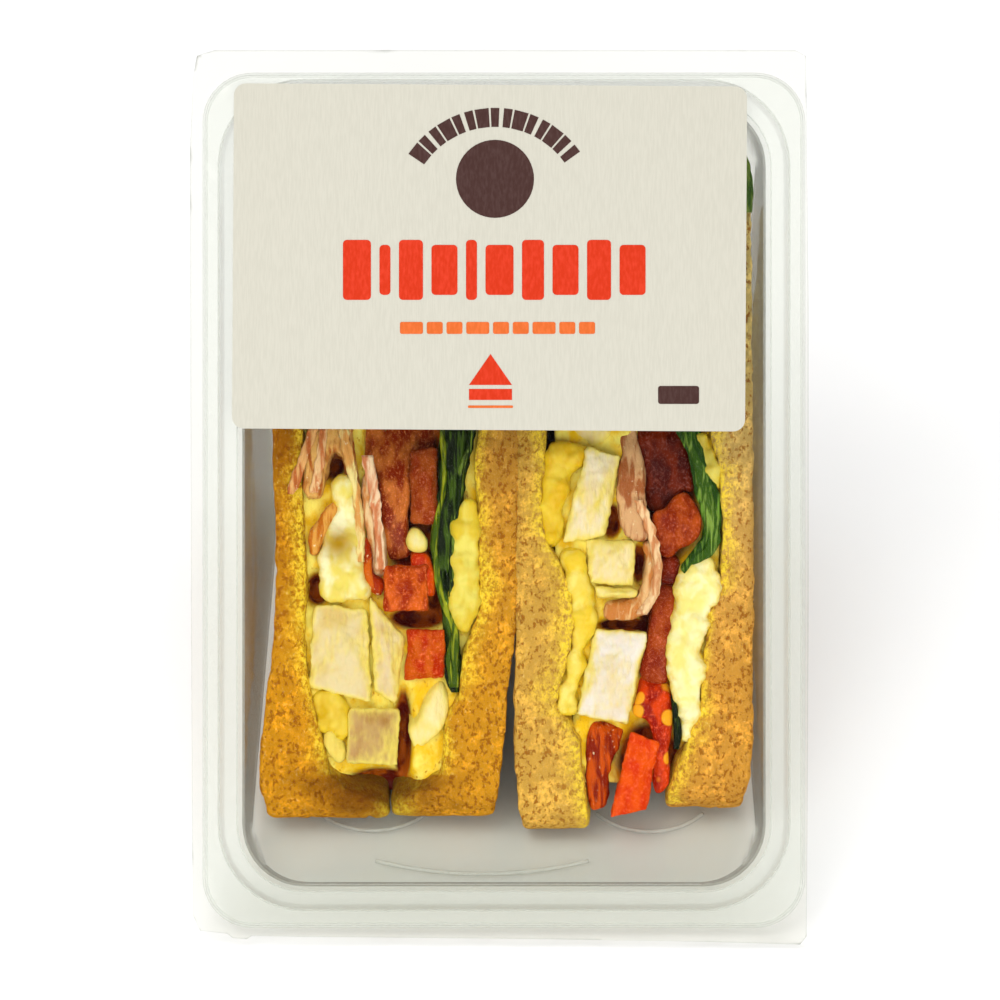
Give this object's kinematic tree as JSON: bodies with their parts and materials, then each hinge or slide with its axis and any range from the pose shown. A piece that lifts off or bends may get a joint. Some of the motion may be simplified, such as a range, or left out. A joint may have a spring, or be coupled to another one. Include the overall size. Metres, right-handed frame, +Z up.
{
  "type": "packed sandwich in a wedge tray",
  "caption": "Clear wedge-shaped sandwich pack standing on one leg, with a film lid and paper label over triangular filled sandwich halves.",
  "frame": {"origin": "middle of the bounding box in plan, at the level of the floor the pack stands on", "axes": "+X across the pack to the right seen from the front, +Y from the sloping front to the upright back, +Z up"},
  "size_m": [0.1238, 0.1284, 0.1278],
  "materials": {
    "clear_tray": "clear thermoformed sheet, glossy, lightly stress-marked at the corners",
    "clear_film": "clear sealing film, glossy, a few creases",
    "label_paper": "cream paper with a fine laid texture and flat print",
    "bread_crumb": "open golden crumb with a thin brown crust",
    "chicken": "moist, pale, fine fibres",
    "bacon": "moist cooked rashers, pink to brown with pale fat",
    "tomato": "wet red flesh, darker where it lies deep",
    "lettuce": "crisp dark leaf with pale ribs",
    "dressing": "creamy pale yellow sauce"
  },
  "bodies": {
    "root": {"bacon_1a": "bacon", "bacon_1b": "bacon", "bacon_1c": "bacon", "bacon_1d": "bacon", "bacon_2a": "bacon", "bacon_2b": "bacon", "bacon_2c": "bacon", "bread_1_left": "bread_crumb", "bread_1_right": "bread_crumb", "bread_2_left": "bread_crumb", "bread_2_right": "bread_crumb", "chicken_1a": "chicken", "chicken_1b": "chicken", "chicken_1c": "chicken", "chicken_1d": "chicken", "chicken_1e": "chicken", "chicken_1f": "chicken", "chicken_1g": "chicken", "chicken_1h": "chicken", "chicken_2a": "chicken", "chicken_2b": "chicken", "chicken_2c": "chicken", "chicken_2d": "chicken", "chicken_2e": "chicken", "chicken_2f": "chicken", "dressing_1a": "dressing", "dressing_1b": "dressing", "dressing_1c": "dressing", "dressing_2a": "dressing", "dressing_2b": "dressing", "dressing_2c": "dressing", "dressing_2d": "dressing", "film_lid": "clear_film", "label": "label_paper", "lettuce_1a": "lettuce", "lettuce_1b": "lettuce", "lettuce_2a": "lettuce", "lettuce_2b": "lettuce", "tomato_1a": "tomato", "tomato_1b": "tomato", "tomato_1c": "tomato", "tomato_1d": "tomato", "tomato_1e": "tomato", "tomato_1f": "tomato", "tomato_1g": "tomato", "tomato_2a": "tomato", "tomato_2b": "tomato", "tomato_2c": "tomato", "tomato_2d": "tomato", "tomato_2e": "tomato", "tomato_2f": "tomato", "tomato_2g": "tomato", "tomato_2h": "tomato", "tray": "clear_tray"}
  },
  "joints": []
}
